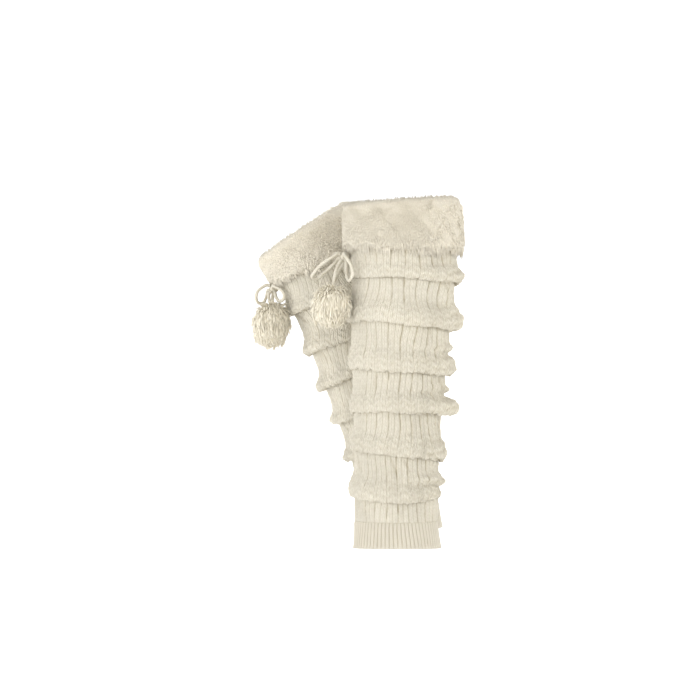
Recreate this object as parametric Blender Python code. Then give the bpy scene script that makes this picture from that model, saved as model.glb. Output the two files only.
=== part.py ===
"""A pair of slouched cable-knit leg warmers with deep fur cuffs and pompom ties.

The two tubes keep the hollow form that they have when they are worn. The left one hangs upright, and the right
one stands behind it, slanting back from a tipped cuff. Lengths in the tables are millimetres. +Z is up, -X is the
front, +X is the back and -Y is the near side. The origin is the middle of the left cuff's top opening. An angle
of 0 degrees points to the back, 90 to the far side, 180 to the front and 270 to the near side.
"""

import math
from collections import namedtuple

import bmesh
import bpy
import numpy as np
from mathutils import Vector

MM = 0.001

# Knit
CABLES = 26
CABLE_RISE = 1.5
CABLE_SINK = 0.9
HEM_RIBS = 66
HEM_RIB_RISE = 0.7
WALL = 3.0
SEAM_GAP = 0.3
SIDE_SHARE = 0.94  # width from side to side as a share of the depth from front to back

# Fur: its pile is measured from the cuff's inner face
CUFF_POINTS = 32
CUFF_BACKING = 3.0
FUR_LUMP = 0.7

# Tie cord, its knot, and how far the cord runs straight out of the knot
CORD = 4.0
CORD_STEP = 8.0
KNOT = (12.0, 15.0, 12.0)
KNOT_GAP = 0.7
KNOT_STEM = 3.5

# Pompoms: a core with a lock of yarn on each of its faces, three to a side of the cube that it is rounded from
POMPOM_CORE = 13.0
POMPOM_RADIUS = 24.5
POMPOM_FACES = 3
POMPOM_FLAT = POMPOM_CORE / math.sqrt(1 + 2 * math.tan(math.radians(45 / POMPOM_FACES)) ** 2)
LOCK_ROOT_GAP = 0.5
LOCK_TIP_SPREAD = 1.55
LOCK_UNEVENNESS = 0.13

# The sections of one roll: how high above its crease, as a share of the roll's height, how far out, as a share of
# its swell, how strongly the cables show, and whether the inside follows. The lip hangs below the crease.
Section = namedtuple("Section", "rise out rib shown_inside")
ROLL = [
    Section(1.05, 0.10, 1.0, True),
    Section(0.74, 0.72, 1.0, False),
    Section(0.32, 1.00, 1.0, True),
    Section(0.00, 0.66, 0.7, False),
    Section(0.00, 0.00, 0.6, True),
]
SOFT_ROLL = [
    Section(1.00, 0.20, 1.0, True),
    Section(0.42, 1.00, 1.0, True),
    Section(0.00, 0.00, 0.6, True),
]
LIP_DROP = 2.6
EDGE_RIB = 0.5  # how strongly the cables show at the tube's two ends

# The outline of the fur, from the cuff's top to its foot: how far down the cuff, and how far out through the pile
CuffRow = namedtuple("CuffRow", "down out")
FUR_FACE = [
    CuffRow(0.0, 0.38),
    CuffRow(0.045, 0.76),
    CuffRow(0.16, 0.97),
    CuffRow(0.42, 1.0),
    CuffRow(0.68, 0.98),
    CuffRow(0.9, 0.94),
    CuffRow(0.985, 0.62),
]
CUFF_INSIDE = [CuffRow(0.015, 0.0), CuffRow(0.5, 0.0), CuffRow(0.99, 0.0)]

# Values on the four sides of a tube
Sides = namedtuple("Sides", "back far front near")
# A level of a tube: how far down it, where its middle is, how far the ring tips up towards the back, and its
# radius in the creases
Station = namedtuple("Station", "level x z tip radius")
# A roll: the level of its crease on the four sides, its height above the crease, how far it swells out on the four
# sides, and its sections
Fold = namedtuple("Fold", "crease height swell sections")
# A warmer's cuff runs from cuff_top down to cuff_foot, and its hem from hem_top down to hem_foot
Warmer = namedtuple("Warmer", "name depth stations cuff_top cuff_foot folds hem_top hem_foot")

FUR_PILE = Sides(14.4, 13.8, 13.1, 13.8)

LEFT = Warmer(
    name="left",
    depth=0.0,
    stations=[
        Station(-20, -1.0, 20, 5.0, 65.0),
        Station(0, -1.0, 0, 5.0, 65.5),
        Station(65, 1.5, -65, 1.5, 67.0),
        Station(100, 1.9, -100, 0.0, 64.2),
        Station(156, -1.3, -156, 0.0, 62.0),
        Station(217, -3.8, -217, 0.0, 57.7),
        Station(270, -5.7, -270, 0.0, 54.5),
        Station(321, -6.7, -321, 0.0, 52.6),
        Station(378, -7.4, -378, 0.0, 52.0),
        Station(404, -7.6, -404, 0.0, 52.0),
        Station(441, -6.3, -441, 0.0, 55.0),
        Station(470, -6.3, -470, 0.0, 56.0),
    ],
    cuff_top=Sides(1, 0, -2, 0),
    cuff_foot=Sides(69, 66, 60, 66),
    folds=[
        Fold(Sides(104, 101, 99, 99), 20, Sides(11, 8, 3, 6), ROLL),
        Fold(Sides(164, 158, 152, 156), 24, Sides(14, 9, 6, 8), ROLL),
        Fold(Sides(193, 190, 190, 188), 13, Sides(7, 4, 0, 0), SOFT_ROLL),
        Fold(Sides(224, 218, 213, 216), 24, Sides(12, 9, 5, 8), ROLL),
        Fold(Sides(245, 243, 241, 242), 12, Sides(8, 3, 0, 0), SOFT_ROLL),
        Fold(Sides(275, 274, 270, 270), 24, Sides(18, 10, 5, 9), ROLL),
        Fold(Sides(329, 325, 317, 321), 22, Sides(9, 8, 5, 7), ROLL),
        Fold(Sides(361, 357, 355, 356), 14, Sides(11, 5, 0, 1), SOFT_ROLL),
        Fold(Sides(381, 385, 373, 383), 20, Sides(3, 6, 7, 7), ROLL),
    ],
    hem_top=405,
    hem_foot=Sides(441, 441, 441, 438.5),
)

RIGHT = Warmer(
    name="right",
    depth=145.0,
    stations=[
        Station(-20, -137.8, -18.6, 36.0, 65.0),
        Station(0, -126.4, -35.0, 35.0, 65.0),
        Station(78, -85.1, -101.1, 27.0, 67.0),
        Station(120, -68.9, -139.8, 21.0, 64.0),
        Station(195, -44.8, -211.3, 18.0, 59.0),
        Station(255, -27.0, -268.6, 17.0, 55.5),
        Station(312, -11.1, -324.0, 14.5, 52.6),
        Station(365, -2.0, -376.0, 10.0, 52.0),
        Station(387, 0.0, -397.9, 8.0, 52.0),
        Station(422, 2.6, -432.8, 6.0, 54.5),
        Station(450, 4.5, -460.7, 5.0, 55.5),
    ],
    cuff_top=Sides(-3, -6, -7, -6),
    cuff_foot=Sides(66, 58, 35, 57),
    folds=[
        Fold(Sides(100, 97, 92, 96), 22, Sides(9, 8, 8, 6), ROLL),
        Fold(Sides(131, 128, 126, 126), 12, Sides(8, 4, 0, 1), SOFT_ROLL),
        Fold(Sides(158, 160, 156, 155), 22, Sides(13, 8, 10, 8), ROLL),
        Fold(Sides(205, 209, 207, 203), 24, Sides(10, 8, 9, 8), ROLL),
        Fold(Sides(231, 229, 227, 228), 12, Sides(9, 4, 0, 0), SOFT_ROLL),
        Fold(Sides(262, 257, 256, 258), 22, Sides(14, 10, 7, 8), ROLL),
        Fold(Sides(311, 307, 309, 307), 22, Sides(10, 8, 8, 7), ROLL),
        Fold(Sides(337, 334, 331, 332), 12, Sides(10, 5, 0, 1), SOFT_ROLL),
        Fold(Sides(362, 365, 358, 362), 18, Sides(7, 8, 6, 7), ROLL),
    ],
    hem_top=386,
    hem_foot=Sides(420, 421, 421, 420),
)

# A tie is routed from the middle of its knot, in (x, y, z). The first point of each route, and the last of a loop,
# only gives the side on which the cord leaves the knot. The last point of an end is the middle of its pompom.
Bow = namedtuple("Bow", "angle level stand_off loops ends")
LEFT_BOW = Bow(
    angle=184.0,
    level=70.0,
    stand_off=7.1,
    loops={
        "front": [(-9, -2.5, 3.5), (-16, -6, -1), (-28, -7, -9), (-38, -4, -19), (-42, 2, -26), (-37, 7, -28),
                  (-26, 8, -20), (-14, 7, -9), (-7.5, 6, -2.5)],
        "side": [(-1, -9.7, 2.5), (0, -18, 0), (4, -28, -6), (8, -36, -15), (9, -37, -25), (5, -31, -31),
                 (2, -21, -26), (1, -13, -15), (1, -8, -6)],
    },
    ends={
        "near": [(-6.5, -3.5, -7), (-10, -8, -14), (-13, -15, -25), (-15, -21, -37), (-16.5, -24, -62)],
        "far": [(-2, 5, -8.5), (-6, 10, -15), (-11, 18, -24), (-16, 25, -37), (-18, 28, -65)],
    },
)
RIGHT_BOW = Bow(
    angle=183.0,
    level=42.5,
    stand_off=7.1,
    loops={
        "front": [(-9, -2.5, 3.5), (-15, -6, 1), (-22, -8, -5), (-24, -6, -13), (-21, -1, -20), (-15, 4, -20),
                  (-11, 7, -12), (-7.5, 6, -2.5)],
        "side": [(-1, -9.7, 2.5), (2, -17, 1), (8, -25, -2), (13, -31, -8), (13, -31, -15), (8, -25, -18),
                 (3, -16, -13), (1, -8, -6)],
    },
    ends={
        "near": [(-6.5, -3.5, -7), (-7, -9, -13), (-5, -17, -20), (-2.5, -24, -45)],
        "far": [(-2, 5, -8.5), (-3, 12, -16), (-3, 20, -24), (-4, 25, -33), (-5, 25.5, -55)],
    },
)

# Name, base colour in linear red, green and blue, and roughness
KNIT = ("cream_knit", (0.77, 0.72, 0.61), 0.95)
FUR = ("cream_fur", (0.80, 0.76, 0.66), 0.9)
YARN = ("cream_yarn", (0.76, 0.71, 0.60), 0.95)


def clear_scene():
    for thing in list(bpy.data.objects):
        bpy.data.objects.remove(thing)


def material(name, colour, roughness):
    made = bpy.data.materials.get(name)
    if made is None:
        made = bpy.data.materials.new(name)
        made.use_nodes = True
        shader = made.node_tree.nodes["Principled BSDF"]
        shader.inputs["Base Color"].default_value = (*colour, 1.0)
        shader.inputs["Roughness"].default_value = roughness
        shader.inputs["Metallic"].default_value = 0.0
    return made


def place(name, shape, finish):
    """Puts a finished mesh or curve in the scene as one named piece."""
    shape.materials.append(material(*finish))
    piece = bpy.data.objects.new(name, shape)
    bpy.context.scene.collection.objects.link(piece)
    return piece


def place_bmesh(name, mesh, finish):
    """Turns a bmesh into one named piece and frees it."""
    made = bpy.data.meshes.new(name)
    mesh.to_mesh(made)
    mesh.free()
    return place(name, made, finish)


def through(marks, values, at):
    """A smooth curve through values at rising marks: cubic pieces whose slopes are those between neighbours."""
    marks = np.asarray(marks, float)
    values = np.asarray(values, float)
    slopes = np.gradient(values, marks)
    at = np.clip(np.asarray(at, float), marks[0], marks[-1])
    i = np.clip(np.searchsorted(marks, at) - 1, 0, len(marks) - 2)
    span = marks[i + 1] - marks[i]
    t = (at - marks[i]) / span
    return (
        (1 + 2 * t) * (1 - t) ** 2 * values[i]
        + t * (1 - t) ** 2 * span * slopes[i]
        + t * t * (3 - 2 * t) * values[i + 1]
        + t * t * (t - 1) * span * slopes[i + 1]
    )


def around(sides, angle):
    """A value that is known on the four sides, carried smoothly round the tube."""
    mean = sum(sides) / 4
    oval = (sides.back + sides.front - sides.far - sides.near) / 4
    return (
        mean
        + (sides.back - sides.front) / 2 * np.cos(angle)
        + (sides.far - sides.near) / 2 * np.sin(angle)
        + oval * np.cos(2 * angle)
    )


def on_tube(warmer, angle, level, swell):
    """Points on a tube: angle round it, level down it, and how far they stand out from the creases."""
    levels = [row.level for row in warmer.stations]
    x, z, tip, radius = (
        through(levels, [getattr(row, column) for row in warmer.stations], level)
        for column in ("x", "z", "tip", "radius")
    )
    tip = np.radians(tip)
    reach = radius + swell
    out = reach * np.cos(angle)
    return np.stack(
        [
            x + out * np.cos(tip),
            warmer.depth + SIDE_SHARE * reach * np.sin(angle),
            z + out * np.sin(tip),
        ],
        axis=-1,
    )


def ring_angles(count):
    return np.arange(count) * 2 * math.pi / count


def ribbed(count, rise, sink):
    """Heights of the points round a ribbed ring: a ridge, then a groove, for each rib."""
    return np.where(np.arange(2 * count) % 2 == 0, rise, -sink)


def join_rings(mesh, rings, outwards):
    """Faces between rings of equal count, from top to bottom."""
    count = len(rings[0])
    for upper, lower in zip(rings, rings[1:]):
        for i in range(count):
            j = (i + 1) % count
            corners = [upper[i], lower[i], lower[j], upper[j]]
            mesh.faces.new(corners if outwards else corners[::-1])


def close_rim(mesh, outer, inner, top):
    """Joins the wall's outside and inside along one edge. The outer ring's count is the inner's or a multiple."""
    step = len(outer) // len(inner)
    for i in range(len(inner)):
        j = (i + 1) % len(inner)
        arc = [outer[(i * step + k) % len(outer)] for k in range(step + 1)]
        faces = [[arc[k], arc[k + 1], inner[i]] for k in range(step - 1)]
        faces.append([arc[step - 1], arc[step], inner[j], inner[i]])
        for corners in faces:
            mesh.faces.new(corners if top else corners[::-1])


def place_wall(name, outer, inner, finish):
    """One closed wall from rings of points in millimetres, outside and inside, each from top to bottom."""
    mesh = bmesh.new()
    outer = [[mesh.verts.new(point * MM) for point in ring] for ring in outer]
    inner = [[mesh.verts.new(point * MM) for point in ring] for ring in inner]
    join_rings(mesh, outer, True)
    join_rings(mesh, inner, False)
    close_rim(mesh, outer[0], inner[0], True)
    close_rim(mesh, outer[-1], inner[-1], False)
    return place_bmesh(name, mesh, finish)


def knit_tube(warmer):
    """The slouched tube: the cables are raised in its outer points, and its inside is plain."""
    outer_angles = ring_angles(2 * CABLES)
    inner_angles = ring_angles(CABLES)
    cables = ribbed(CABLES, CABLE_RISE, CABLE_SINK)
    outer, inner = [], []

    def end_row(level_at):
        outer.append(on_tube(warmer, outer_angles, level_at(outer_angles), EDGE_RIB * cables))
        inner.append(on_tube(warmer, inner_angles, level_at(inner_angles), -WALL))

    def roll_row(fold, section):
        is_lip = section.rise == 0 and section.out > 0
        drop = (LIP_DROP if is_lip else 0.0) - section.rise * fold.height

        def ring(angles, more):
            swell = section.out * np.maximum(around(fold.swell, angles), 0.0)
            return on_tube(warmer, angles, around(fold.crease, angles) + drop, swell + more)

        outer.append(ring(outer_angles, section.rib * cables))
        if section.shown_inside:
            inner.append(ring(inner_angles, -WALL))

    end_row(lambda angles: around(warmer.cuff_foot, angles) + SEAM_GAP)
    for fold in warmer.folds:
        for section in fold.sections:
            roll_row(fold, section)
    end_row(lambda angles: warmer.hem_top - SEAM_GAP + 0 * angles)
    return place_wall(f"knit_tube_{warmer.name}", outer, inner, KNIT)


def rib_hem(warmer):
    """The close-ribbed band that ends the tube."""

    def edges(angles, swell):
        top = on_tube(warmer, angles, warmer.hem_top + 0 * angles, swell)
        foot = on_tube(warmer, angles, around(warmer.hem_foot, angles), swell)
        return [top, foot]

    outer = edges(ring_angles(2 * HEM_RIBS), ribbed(HEM_RIBS, HEM_RIB_RISE, HEM_RIB_RISE))
    inner = edges(ring_angles(HEM_RIBS), -WALL)
    return place_wall(f"rib_hem_{warmer.name}", outer, inner, KNIT)


def fur_cuff(warmer):
    """The fur band, as thick as its pile: a ring whose section is a soft, slightly lumpy roll."""
    angles = ring_angles(CUFF_POINTS)
    top = around(warmer.cuff_top, angles)
    foot = around(warmer.cuff_foot, angles)
    pile = around(FUR_PILE, angles)

    def ring(row):
        lumps = np.sin(3 * angles + 4 * row.down + warmer.depth) + 0.7 * np.sin(7 * angles - 5 * row.down)
        reach = row.out * (pile + FUR_LUMP * lumps) - CUFF_BACKING
        return on_tube(warmer, angles, top + row.down * (foot - top), reach)

    outer = [ring(row) for row in FUR_FACE]
    inner = [ring(row) for row in CUFF_INSIDE]
    return place_wall(f"fur_cuff_{warmer.name}", outer, inner, FUR)


def tie(name, route):
    """One stretch of the tie cord: a round tube along a smooth curve through the route's points."""
    route = np.asarray(route, float)
    marks = np.concatenate([[0.0], np.cumsum(np.linalg.norm(np.diff(route, axis=0), axis=1))])
    at = np.linspace(0, marks[-1], round(marks[-1] / CORD_STEP) + 1)
    line = np.stack([through(marks, route[:, axis], at) for axis in range(3)], axis=1)
    curve = bpy.data.curves.new(name, "CURVE")
    curve.dimensions = "3D"
    curve.bevel_depth = CORD / 2 * MM
    curve.bevel_resolution = 2
    curve.use_fill_caps = True
    spline = curve.splines.new("POLY")
    spline.points.add(len(line) - 1)
    for point, spot in zip(spline.points, line):
        point.co = (*(spot * MM), 1.0)
    return place(name, curve, YARN)


def knot(name, middle):
    """The pulled-tight knot in the middle of a bow."""
    mesh = bmesh.new()
    bmesh.ops.create_icosphere(mesh, subdivisions=2, radius=0.5 * MM)
    bmesh.ops.scale(mesh, vec=KNOT, verts=mesh.verts)
    bmesh.ops.translate(mesh, vec=Vector(middle * MM), verts=mesh.verts)
    return place_bmesh(name, mesh, YARN)


def pompom(name, middle, towards):
    """A core with a lock of yarn on each face but the one that the cord meets, which is turned towards it."""
    mesh = bmesh.new()
    bmesh.ops.create_cube(mesh, size=2.0)
    bmesh.ops.subdivide_edges(mesh, edges=mesh.edges, cuts=POMPOM_FACES - 1, use_grid_fill=True)
    for vertex in mesh.verts:
        spread = Vector([math.tan(c * math.pi / 4) for c in vertex.co])
        vertex.co = spread.normalized() * POMPOM_CORE * MM
    mesh.normal_update()
    bare = max(mesh.faces, key=lambda face: face.normal.z)
    for number, face in enumerate([face for face in mesh.faces if face is not bare]):
        shortfall = LOCK_UNEVENNESS * (1 + math.sin(2.4 * number)) / 2
        length = POMPOM_RADIUS * (1 - shortfall) - POMPOM_CORE
        bmesh.ops.inset_individual(mesh, faces=[face], thickness=LOCK_ROOT_GAP * MM, depth=length * MM)
        centre = face.calc_center_median()
        for vertex in face.verts:
            vertex.co = centre + LOCK_TIP_SPREAD * (vertex.co - centre)
    turn = Vector((0, 0, 1)).rotation_difference(Vector(towards)).to_matrix()
    bmesh.ops.rotate(mesh, cent=(0, 0, 0), matrix=turn, verts=mesh.verts)
    bmesh.ops.translate(mesh, vec=Vector(middle * MM), verts=mesh.verts)
    return place_bmesh(name, mesh, YARN)


def stem(side):
    """The cord's first two points, straight out from the knot's surface on the given side."""
    ray = np.asarray(side, float)
    ray /= np.linalg.norm(ray)
    surface = 1 / np.linalg.norm(ray / (np.array(KNOT) / 2))
    return ray * (surface + KNOT_GAP), ray * (surface + KNOT_GAP + KNOT_STEM)


def bow(warmer, plan):
    """The tie's bow under the cuff: knot, two loops, and two ends with a pompom each."""
    middle = on_tube(warmer, np.float64(math.radians(plan.angle)), plan.level, plan.stand_off)
    knot(f"tie_knot_{warmer.name}", middle)
    for side, route in plan.loops.items():
        points = [*stem(route[0]), *route[1:-1], *stem(route[-1])[::-1]]
        tie(f"tie_loop_{side}_{warmer.name}", middle + np.array(points, float))
    for side, route in plan.ends.items():
        points = middle + np.array([*stem(route[0]), *route[1:]], float)
        centre = points[-1].copy()
        inwards = points[-2] - centre
        inwards /= np.linalg.norm(inwards)
        points[-1] = centre + (POMPOM_FLAT + SEAM_GAP) * inwards
        tie(f"tie_end_{side}_{warmer.name}", points)
        pompom(f"pompom_{side}_{warmer.name}", centre, inwards)


def build():
    clear_scene()
    for warmer, plan in ((LEFT, LEFT_BOW), (RIGHT, RIGHT_BOW)):
        fur_cuff(warmer)
        knit_tube(warmer)
        rib_hem(warmer)
        bow(warmer, plan)


build()
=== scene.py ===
import math

import bpy
import numpy as np
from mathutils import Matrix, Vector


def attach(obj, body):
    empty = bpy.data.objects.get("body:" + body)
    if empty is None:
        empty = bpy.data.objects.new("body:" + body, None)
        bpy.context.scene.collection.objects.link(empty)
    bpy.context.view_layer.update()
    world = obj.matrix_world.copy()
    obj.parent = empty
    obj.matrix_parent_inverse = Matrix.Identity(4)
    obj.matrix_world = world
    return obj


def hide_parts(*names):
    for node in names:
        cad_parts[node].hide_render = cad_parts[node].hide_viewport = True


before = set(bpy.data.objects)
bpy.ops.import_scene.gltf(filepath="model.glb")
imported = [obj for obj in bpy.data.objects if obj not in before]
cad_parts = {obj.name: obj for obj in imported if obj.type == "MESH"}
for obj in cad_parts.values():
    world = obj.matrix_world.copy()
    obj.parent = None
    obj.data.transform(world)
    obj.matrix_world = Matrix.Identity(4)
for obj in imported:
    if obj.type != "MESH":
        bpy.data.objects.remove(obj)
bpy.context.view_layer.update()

mm = 0.001

# Each warmer's tube: levels down it, its middle, how far it tips up to the back, and its radius in the
# creases. Sides are values at the back, far side, front and near side.
tubes = {
    "left": {
        "depth": 0.0,
        "level": [-20, 0, 65, 100, 156, 217, 270, 321, 378, 404, 441, 470],
        "x": [-1.0, -1.0, 1.5, 1.9, -1.3, -3.8, -5.7, -6.7, -7.4, -7.6, -6.3, -6.3],
        "z": [20, 0, -65, -100, -156, -217, -270, -321, -378, -404, -441, -470],
        "tip": [5.0, 5.0, 1.5, 0, 0, 0, 0, 0, 0, 0, 0, 0],
        "radius": [65.0, 65.5, 67.0, 64.2, 62.0, 57.7, 54.5, 52.6, 52.0, 52.0, 55.0, 56.0],
        "cuffTop": (1, 0, -2, 0),
        "cuffFoot": (69, 66, 60, 66),
        "hemTop": 405,
        "hemFoot": (441, 441, 441, 438.5),
    },
    "right": {
        "depth": 145.0,
        "level": [-20, 0, 78, 120, 195, 255, 312, 365, 387, 422, 450],
        "x": [-137.8, -126.4, -85.1, -68.9, -44.8, -27.0, -11.1, -2.0, 0.0, 2.6, 4.5],
        "z": [-18.6, -35.0, -101.1, -139.8, -211.3, -268.6, -324.0, -376.0, -397.9, -432.8, -460.7],
        "tip": [36.0, 35.0, 27.0, 21.0, 18.0, 17.0, 14.5, 10.0, 8.0, 6.0, 5.0],
        "radius": [65.0, 65.0, 67.0, 64.0, 59.0, 55.5, 52.6, 52.0, 52.0, 54.5, 55.5],
        "cuffTop": (-3, -6, -7, -6),
        "cuffFoot": (66, 58, 35, 57),
        "hemTop": 386,
        "hemFoot": (420, 421, 421, 420),
    },
}
sideShare = 0.94  # side to side, as a share of front to back
wall = 3.0
seamGap = 0.3
seeds = {
    "left": {"rolls": 4, "cables": 5, "cloth": 70, "hem": 3, "fur": 301, "near": 18, "far": 17},
    "right": {"rolls": 5, "cables": 6, "cloth": 80, "hem": 4, "fur": 302, "near": 38, "far": 37},
}


def evenTurns(count):
    # angles at even steps round a whole turn
    return np.arange(count) * 2 * math.pi / count


def nearTurn(angle, whole):
    # the angle less whole turns, so that it is from minus half a turn to half a turn
    return (angle + whole / 2) % whole - whole / 2


def unit(rays):
    # each ray divided by its length
    return rays / np.maximum(np.linalg.norm(rays, axis=-1, keepdims=True), 1e-12)


def runAlong(line):
    # the sum of the steps from a line's first point to each of its points
    return np.concatenate([[0.0], np.cumsum(np.linalg.norm(np.diff(line, axis=0), axis=1))])


def curveThrough(marks, values, at):
    # cubic pieces through values at rising marks, each end's slope taken between its neighbours
    marks = np.asarray(marks, float)
    values = np.asarray(values, float)
    slopes = np.gradient(values, marks)
    at = np.clip(np.asarray(at, float), marks[0], marks[-1])
    i = np.clip(np.searchsorted(marks, at) - 1, 0, len(marks) - 2)
    span = marks[i + 1] - marks[i]
    t = (at - marks[i]) / span
    start = (1 + 2 * t) * (1 - t) ** 2 * values[i] + t * (1 - t) ** 2 * span * slopes[i]
    end = t * t * (3 - 2 * t) * values[i + 1] + t * t * (t - 1) * span * slopes[i + 1]
    return start + end


def roundTube(sides, angle):
    # the four sides' mean, plus a cosine for back against front, a sine for far against near, and an oval
    back, far, front, near = sides
    level = (back + far + front + near) / 4 + (back + front - far - near) / 4 * np.cos(2 * angle)
    return level + (back - front) / 2 * np.cos(angle) + (far - near) / 2 * np.sin(angle)


def onTube(tube, angle, level, out):
    # a ring of the tube's radius plus out, tipped about the side axis and carried to the tube's middle
    x, z, tip, radius = (curveThrough(tube["level"], tube[k], level) for k in ("x", "z", "tip", "radius"))
    tip = np.radians(tip)
    reach = (radius + out) * np.cos(angle)
    side = tube["depth"] + sideShare * (radius + out) * np.sin(angle)
    return mm * np.stack(np.broadcast_arrays(x + reach * np.cos(tip), side, z + reach * np.sin(tip)), axis=-1)


def softWaves(seed, angle, level, turns, lengths, count=7):
    # a sum of sines, each with whole waves round the tube and its own wavelength down it, from about -1 to 1
    pick = np.random.default_rng(seed)
    total = 0.0
    for size in pick.uniform(0.5, 1.0, count):
        lean = pick.choice([-1, 1]) * pick.integers(turns[0], turns[1] + 1)
        turn = 2 * math.pi * level / pick.uniform(*lengths) + pick.uniform(0, 2 * math.pi)
        total = total + size * np.sin(lean * angle + turn)
    return total / (0.55 * count)


def ringWaves(seed, angle, turns, count=7):
    # soft waves round one ring, where their wavelength down the tube makes no difference
    return softWaves(seed, angle, 0.0, turns, (80, 90), count)


def innerWall(tube, rows, columns, top, foot, out, ends=(0, 1)):
    # a plain grid from a piece's top line to its foot, between two shares of the way
    angle = evenTurns(columns)
    top, foot = roundTube(top, angle), roundTube(foot, angle)
    return onTube(tube, angle, top + np.linspace(*ends, rows)[:, None] * (foot - top), out)


def meshPiece(name, points, faceSets, uvSets, finish, hollowShade=None, flat=0):
    # the face sets joined as they stand, the last ones flat; a UV set has u and v for each face's corners
    corners = np.concatenate([faces.reshape(-1) for faces in faceSets])
    sizes = np.concatenate([np.full(len(faces), faces.shape[1]) for faces in faceSets])
    mesh = bpy.data.meshes.new(name)
    mesh.vertices.add(len(points))
    mesh.vertices.foreach_set("co", points.reshape(-1).astype(np.float32))
    mesh.loops.add(len(corners))
    mesh.loops.foreach_set("vertex_index", corners.astype(np.int32))
    mesh.polygons.add(len(sizes))
    mesh.polygons.foreach_set("loop_start", (np.cumsum(sizes) - sizes).astype(np.int32))
    mesh.update(calc_edges=True)
    mesh.polygons.foreach_set("use_smooth", np.arange(len(sizes)) < len(sizes) - flat)
    uv = mesh.uv_layers.new(name="yarn")
    uv.data.foreach_set("uv", np.concatenate([part.reshape(-1) for part in uvSets]).astype(np.float32))
    # each point's share of painted shade, which the knitted finishes darken towards their darkest tone
    if hollowShade is not None:
        depth = mesh.attributes.new("hollowShade", "FLOAT", "POINT")
        depth.data.foreach_set("value", hollowShade.reshape(-1).astype(np.float32))
    mesh.materials.append(finish)
    piece = bpy.data.objects.new(name, mesh)
    bpy.context.scene.collection.objects.link(piece)
    return piece


def gridFaces(rows, columns, first=0, outwards=True):
    # quads between neighbouring points of a grid that closes on itself round the tube
    j, i = np.meshgrid(np.arange(rows - 1), np.arange(columns), indexing="ij")
    here, there = j * columns + i, j * columns + (i + 1) % columns
    quads = first + np.stack([here, here + columns, there + columns, there], axis=-1).reshape(-1, 4)
    return quads if outwards else quads[:, ::-1]


def gridUv(u, v, outwards=True):
    # the same quads' corners, read from u and v, which have one column more than the grid
    uv = np.stack(np.broadcast_arrays(u, v), axis=-1)
    corners = np.stack([uv[:-1, :-1], uv[1:, :-1], uv[1:, 1:], uv[:-1, 1:]], axis=2).reshape(-1, 4, 2)
    return corners if outwards else corners[:, ::-1]


def rimFaces(outer, inner, outwards):
    # triangles from each stretch of the outer ring to one inner point, and one quad on to the next one
    step = len(outer) // len(inner)
    arc = outer[(np.arange(len(inner))[:, None] * step + np.arange(step + 1)) % len(outer)]
    hubs = np.repeat(inner[:, None], step - 1, axis=1)
    fans = np.stack([arc[:, :-2], arc[:, 1:-1], hubs], axis=-1).reshape(-1, 3)
    quads = np.stack([arc[:, -2], arc[:, -1], np.roll(inner, -1), inner], axis=-1)
    return (fans, quads) if outwards else (fans[:, ::-1], quads[:, ::-1])


def wallPiece(name, outer, inner, uv, finish, hollowShade):
    # one closed wall: an outer grid, a coarser inner one, and a flat rim at each end
    rows, columns = outer.shape[:2]
    innerRows, innerColumns = inner.shape[:2]
    first = rows * columns
    ring = np.arange(columns)
    innerRing = first + np.arange(innerColumns)
    rims = [
        *rimFaces(ring, innerRing, True),
        *rimFaces(ring + (rows - 1) * columns, innerRing + (innerRows - 1) * innerColumns, False),
    ]
    faceSets = [gridFaces(rows, columns), gridFaces(innerRows, innerColumns, first, False), *rims]
    innerU = np.linspace(0, uv[0][0, -1], innerColumns + 1)[None, :]
    innerV = np.linspace(uv[1].min(), uv[1].max(), innerRows)[:, None]
    uvSets = [gridUv(*uv), gridUv(innerU, innerV, False), *(np.zeros((*faces.shape, 2)) for faces in rims)]
    points = np.concatenate([outer.reshape(-1, 3), inner.reshape(-1, 3)])
    # the inner wall painted half in shade
    shade = np.concatenate([hollowShade.reshape(-1), np.full(innerRows * innerColumns, 0.5)])
    return meshPiece(name, points, faceSets, uvSets, finish, shade, sum(len(faces) for faces in rims))


def closedTube(name, grid, ends, uv, finish, shade):
    # a grid that closes on itself, with triangles from each of its end rings to an end point
    rows, columns = grid.shape[:2]
    here = np.arange(columns)
    there = (here + 1) % columns
    top = np.stack([here, there, np.full(columns, rows * columns)], axis=-1)
    foot = (rows - 1) * columns + np.stack([there, here, np.full(columns, columns + 1)], axis=-1)
    faceSets = [gridFaces(rows, columns), top, foot]
    uvSets = [gridUv(*uv), np.zeros((columns, 3, 2)), np.zeros((columns, 3, 2))]
    points = np.concatenate([grid.reshape(-1, 3), ends])
    shade = np.clip(np.concatenate([shade.reshape(-1), [0.5, 0.5]]), 0, 1)
    return meshPiece(name, points, faceSets, uvSets, finish, shade)


def outwardNormals(grid):
    # the cross product of the step down the tube and the step round it, for each point of the grid
    return unit(np.cross(np.gradient(grid, axis=0), np.roll(grid, -1, axis=1) - np.roll(grid, 1, axis=1)))


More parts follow.
